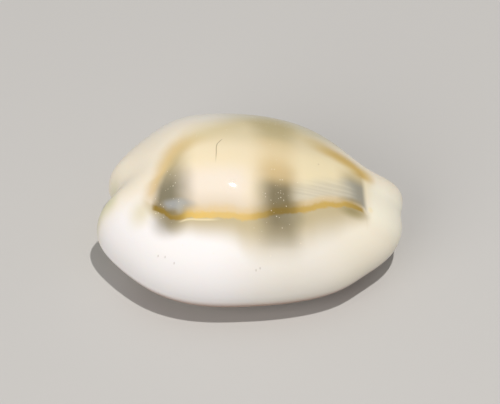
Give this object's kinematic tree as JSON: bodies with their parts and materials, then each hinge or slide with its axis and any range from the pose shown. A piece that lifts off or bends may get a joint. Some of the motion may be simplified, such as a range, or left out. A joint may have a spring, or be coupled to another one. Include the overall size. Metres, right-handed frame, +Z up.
{
  "type": "cowrie shell",
  "caption": "Glossy domed cowrie shell with a thick pale rim, a gold line round its back, and a flat base split by a toothed slit.",
  "frame": {"origin": "middle of the shell's footprint, on the plane that it rests on", "axes": "+X to the front (anterior) end, +Y to the inner-lip side, -Y to the outer-lip side, +Z up through the domed back"},
  "size_m": [0.025, 0.0178, 0.0107],
  "materials": {
    "shell_enamel": "high natural gloss: cream and white with olive-grey bands and a gold line"
  },
  "bodies": {
    "root": {"shell": "shell_enamel"}
  },
  "joints": []
}
